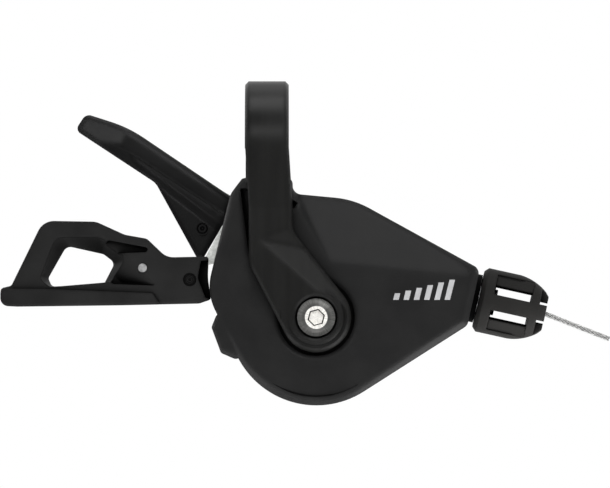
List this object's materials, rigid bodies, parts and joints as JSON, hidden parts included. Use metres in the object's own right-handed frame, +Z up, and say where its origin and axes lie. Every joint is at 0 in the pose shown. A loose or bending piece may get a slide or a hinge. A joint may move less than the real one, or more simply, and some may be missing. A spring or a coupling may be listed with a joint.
{
  "type": "trigger gear shifter",
  "caption": "Trigger gear shifter for a flat bar: clamp band, drop-shaped body with a cable drum inside, thumb lever, finger release lever, and a ribbed cable adjuster.",
  "frame": {"origin": "centre of the handlebar clamp's bore, halfway across the band", "axes": "+X along the bar towards the cable outlet, +Z up from the body to the bar, -Y out of the moulded cover towards the viewer"},
  "size_m": [0.1403, 0.0372, 0.0744],
  "materials": {
    "black_painted_aluminium": "fine matt black paint",
    "black_nylon": "fine moulded texture, satin black",
    "lever_nylon": "satin black moulding",
    "bright_steel": "bright plated steel",
    "zinc_steel": "zinc plated pressing",
    "dark_steel": "oiled hardened steel",
    "spring_steel": "drawn spring wire",
    "cable_steel": "stranded stainless wire",
    "barrel_aluminium": "turned, dark anodised",
    "white_acetal": "natural acetal"
  },
  "bodies": {
    "housing": {"clamp_band": "black_painted_aluminium", "clamp_bolt": "bright_steel", "band_screw": "bright_steel", "top_cover": "black_nylon", "base_bracket": "black_painted_aluminium", "rear_cover": "black_nylon", "cover_screws": "bright_steel", "main_axle": "bright_steel", "axle_nut": "bright_steel", "front_plate": "zinc_steel", "rear_plate": "zinc_steel", "plate_posts": "bright_steel", "holding_pin": "bright_steel", "release_spacer": "white_acetal", "adjuster_collar": "black_nylon", "inner_cable": "cable_steel", "drum_spring": "spring_steel", "main_lever_spring": "spring_steel", "release_lever_spring": "spring_steel", "holding_pawl_spring": "spring_steel"},
    "drum": {"cable_drum": "white_acetal", "index_ratchet": "dark_steel", "winding_ratchet": "dark_steel", "cable_nipple": "bright_steel", "lever_spacer": "white_acetal"},
    "main_lever": {"main_lever_plate": "zinc_steel", "main_lever_pad": "lever_nylon", "winding_pin": "bright_steel", "winding_pawl_spring": "spring_steel"},
    "winding_pawl": {"winding_pawl": "dark_steel"},
    "holding_pawl": {"holding_pawl": "dark_steel"},
    "release_lever": {"release_lever_plate": "zinc_steel", "release_lever_pad": "lever_nylon", "release_pin": "bright_steel"},
    "adjuster": {"adjuster_knob": "black_nylon", "adjuster_barrel": "barrel_aluminium"}
  },
  "joints": [
    {"name": "main_lever_pivot", "type": "hinge", "parent": "housing", "child": "main_lever", "pos_m": [0.0113, 0, -0.04], "axis": [0, -1, 0], "range_deg": [0, 45], "stiffness_Nm_per_rad": 0.15, "springref_deg": -17.19, "deforming": ["main_lever_spring"]},
    {"name": "release_lever_pivot", "type": "hinge", "parent": "housing", "child": "release_lever", "pos_m": [0.0113, 0, -0.04], "axis": [0, -1, 0], "range_deg": [-8, 10], "stiffness_Nm_per_rad": 0.3, "deforming": ["release_lever_spring"]},
    {"name": "drum_axle", "type": "hinge", "parent": "housing", "child": "drum", "pos_m": [0.0113, 0, -0.04], "axis": [0, -1, 0], "range_deg": [0, 165], "deforming": ["inner_cable", "drum_spring"]},
    {"name": "winding_pawl_pivot", "type": "hinge", "parent": "main_lever", "child": "winding_pawl", "pos_m": [0.01561, 0, -0.02816], "axis": [0, -1, 0], "range_deg": [0, 10], "stiffness_Nm_per_rad": 0.01, "deforming": ["winding_pawl_spring"]},
    {"name": "holding_pawl_pivot", "type": "hinge", "parent": "housing", "child": "holding_pawl", "pos_m": [0.01674, 0, -0.05494], "axis": [0, -1, 0], "range_deg": [-10, 0], "stiffness_Nm_per_rad": 0.01, "deforming": ["holding_pawl_spring"]},
    {"name": "adjuster_thread", "type": "hinge", "parent": "housing", "child": "adjuster", "pos_m": [0.04877, 0.0055, -0.03591], "axis": [0.9763, 0, -0.2164], "range_deg": [-720, 720]}
  ]
}
